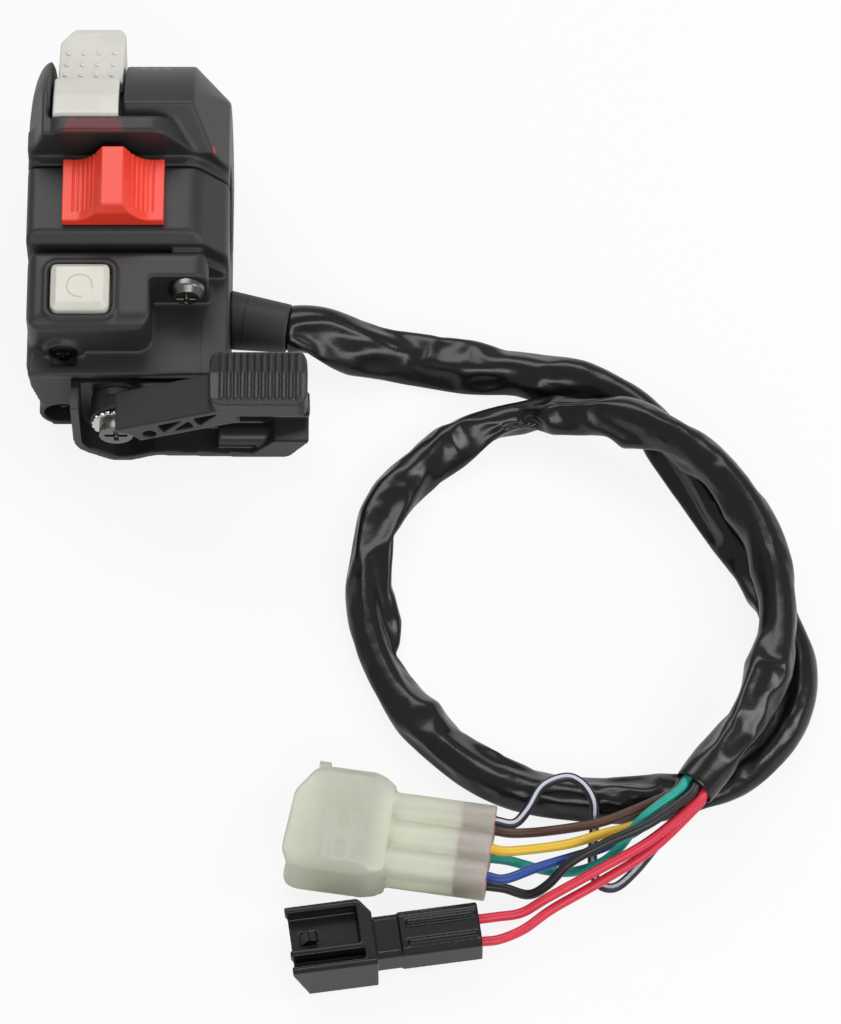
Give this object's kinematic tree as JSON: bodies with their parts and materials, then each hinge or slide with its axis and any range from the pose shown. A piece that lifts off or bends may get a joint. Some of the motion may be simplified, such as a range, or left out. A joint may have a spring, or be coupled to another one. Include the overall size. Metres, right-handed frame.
{
  "type": "handlebar switch cluster",
  "caption": "Clamp-on handlebar switch cluster with lighting lever, engine stop slider, starter button, thumb choke lever and a sleeved harness ending in sealed plugs.",
  "frame": {"origin": "middle of the handlebar clamp, on the bar axis", "axes": "+X along the handlebar towards the cable side, +Y from the bar towards the lighting lever's crown, +Z out of the switch face; the part lies on its flat back"},
  "size_m": [0.1724, 0.2173, 0.0524],
  "materials": {
    "black_housing": "fine moulded grain",
    "black_metal": "satin black",
    "white_plastic": "satin off-white",
    "red_plastic": "satin red",
    "inner_plastic": "black nylon",
    "board": "brown phenolic",
    "contacts": "bright",
    "steel": "zinc plated",
    "dark_screws": "black chromate",
    "nylon_washer": "natural nylon",
    "rubber": "moulded rubber",
    "sleeve": "glossy vinyl",
    "brown_wire": "vinyl",
    "green_wire": "vinyl",
    "yellow_wire": "vinyl",
    "black_wire": "vinyl",
    "blue_wire": "vinyl",
    "striped_wire": "vinyl with a pale tracer",
    "red_wire": "vinyl",
    "pale_shell": "translucent natural nylon",
    "pink_seal": "silicone",
    "black_shell": "glass-filled nylon",
    "orange_seal": "silicone",
    "terminals": "tin plated"
  },
  "bodies": {
    "housing": {"upper_housing": "black_housing", "lower_housing": "black_housing", "housing_screws": "dark_screws", "lighting_contact_base": "board", "lighting_fixed_contacts": "contacts", "stop_contact_base": "board", "stop_fixed_contacts": "contacts", "start_return_spring": "steel", "start_contact_base": "board", "start_fixed_contacts": "contacts", "start_base_screw": "dark_screws", "choke_bracket": "black_metal", "choke_pivot_screw": "steel", "choke_lock_washer": "steel", "choke_friction_washer": "nylon_washer", "harness_grommet": "rubber", "lighting_lead": "brown_wire", "stop_lead": "black_wire", "start_lead": "yellow_wire", "harness_sleeve": "sleeve", "wire_brown": "brown_wire", "wire_green": "green_wire", "wire_yellow": "yellow_wire", "wire_black": "black_wire", "wire_blue": "blue_wire", "wire_stripe": "striped_wire", "wire_red_a": "red_wire", "wire_red_b": "red_wire", "six_way_plug": "pale_shell", "six_way_seals": "pink_seal", "six_way_terminals": "terminals", "two_way_plug": "black_shell", "two_way_seal": "orange_seal", "two_way_terminals": "terminals"},
    "lighting_lever": {"lighting_knob": "white_plastic", "lighting_rotor": "inner_plastic", "lighting_moving_contact": "contacts", "lighting_detent_ball": "steel", "lighting_detent_spring": "steel"},
    "stop_slider": {"stop_knob": "red_plastic", "stop_carrier": "inner_plastic", "stop_moving_contact": "contacts", "stop_detent_ball": "steel", "stop_detent_spring": "steel"},
    "starter": {"start_button": "white_plastic", "start_plunger": "inner_plastic", "start_moving_contact": "contacts"},
    "choke": {"choke_lever": "black_housing"}
  },
  "joints": [
    {"name": "lighting_turn", "type": "hinge", "parent": "housing", "child": "lighting_lever", "pos_m": [0, 0, 0], "axis": [-1, 0, 0], "range_deg": [0, 30]},
    {"name": "stop_slide", "type": "slide", "parent": "housing", "child": "stop_slider", "axis": [1, 0, 0], "range_m": [-0.004, 0.004]},
    {"name": "start_push", "type": "slide", "parent": "housing", "child": "starter", "axis": [0, 0, -1], "range_m": [0, 0.0025], "stiffness_N_per_m": 600, "springref_m": -0.003, "deforming": ["start_return_spring"]},
    {"name": "choke_swing", "type": "hinge", "parent": "housing", "child": "choke", "pos_m": [-0.0024, -0.048, -0.0003], "axis": [0, -1, 0], "range_deg": [-26, 10]}
  ]
}
